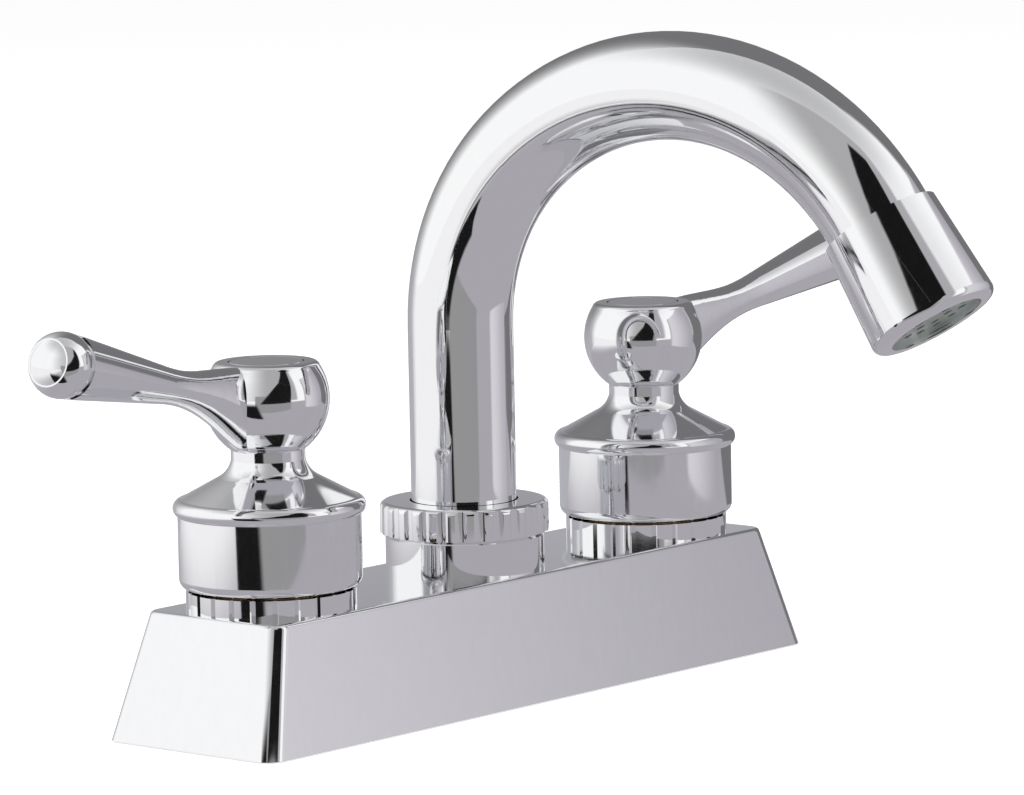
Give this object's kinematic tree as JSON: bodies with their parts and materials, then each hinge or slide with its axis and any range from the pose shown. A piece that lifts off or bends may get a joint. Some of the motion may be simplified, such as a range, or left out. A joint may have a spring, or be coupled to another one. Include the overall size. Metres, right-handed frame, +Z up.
{
  "type": "centerset bathroom faucet",
  "caption": "Chrome centerset bathroom faucet with lever handles on a tapered base and a high round swivel spout that ends in a flared aerator.",
  "frame": {"origin": "Centre of the base's underside, where it meets the deck.", "axes": "+Z up, -Y towards the user (the side the spout reaches over), +X to the user's right."},
  "size_m": [0.2224, 0.1262, 0.1666],
  "materials": {
    "chrome_plate": "bright polished chrome plate",
    "brass": "machined brass",
    "copper": "drawn copper",
    "steel": "zinc plated steel",
    "ceramic": "lapped ceramic",
    "nylon": "moulded nylon",
    "aerator_plastic": "moulded grey plastic",
    "gasket_foam": "closed-cell foam",
    "o_ring_rubber": "smooth rubber"
  },
  "bodies": {
    "base": {"base_cover": "chrome_plate", "base_gasket": "gasket_foam", "left_valve_body": "brass", "right_valve_body": "brass", "left_cross_tube": "copper", "right_cross_tube": "copper", "spout_hub": "brass", "left_cover_nut": "chrome_plate", "right_cover_nut": "chrome_plate", "spout_collar": "chrome_plate", "left_seat_seal": "o_ring_rubber", "right_seat_seal": "o_ring_rubber", "left_fixed_disc": "ceramic", "right_fixed_disc": "ceramic", "left_cartridge_body": "brass", "right_cartridge_body": "brass", "spout_nut": "chrome_plate", "glide_ring": "nylon", "left_shank_washer": "steel", "right_shank_washer": "steel", "left_shank_nut": "brass", "right_shank_nut": "brass"},
    "left_lever": {"left_moving_disc": "ceramic", "left_stem": "brass", "left_stem_o_ring": "o_ring_rubber", "left_handle": "chrome_plate", "left_handle_screw": "steel", "left_handle_cap": "chrome_plate"},
    "right_lever": {"right_moving_disc": "ceramic", "right_stem": "brass", "right_stem_o_ring": "o_ring_rubber", "right_handle": "chrome_plate", "right_handle_screw": "steel", "right_handle_cap": "chrome_plate"},
    "spout": {"spout_tail": "brass", "upper_spout_o_ring": "o_ring_rubber", "lower_spout_o_ring": "o_ring_rubber", "spout_tube": "chrome_plate", "outlet_cap": "chrome_plate", "aerator_washer": "o_ring_rubber", "aerator_insert": "aerator_plastic"}
  },
  "joints": [
    {"name": "spout_swivel", "type": "hinge", "parent": "base", "child": "spout", "pos_m": [0, 0, 0.03], "axis": [0, 0, 1], "range_deg": [-75.5, 64.5]},
    {"name": "left_lever_turn", "type": "hinge", "parent": "base", "child": "left_lever", "pos_m": [-0.0508, 0, 0.04], "axis": [0, 0, 1], "range_deg": [0, 90]},
    {"name": "right_lever_turn", "type": "hinge", "parent": "base", "child": "right_lever", "pos_m": [0.0508, 0, 0.04], "axis": [0, 0, 1], "range_deg": [-90, 0]}
  ]
}
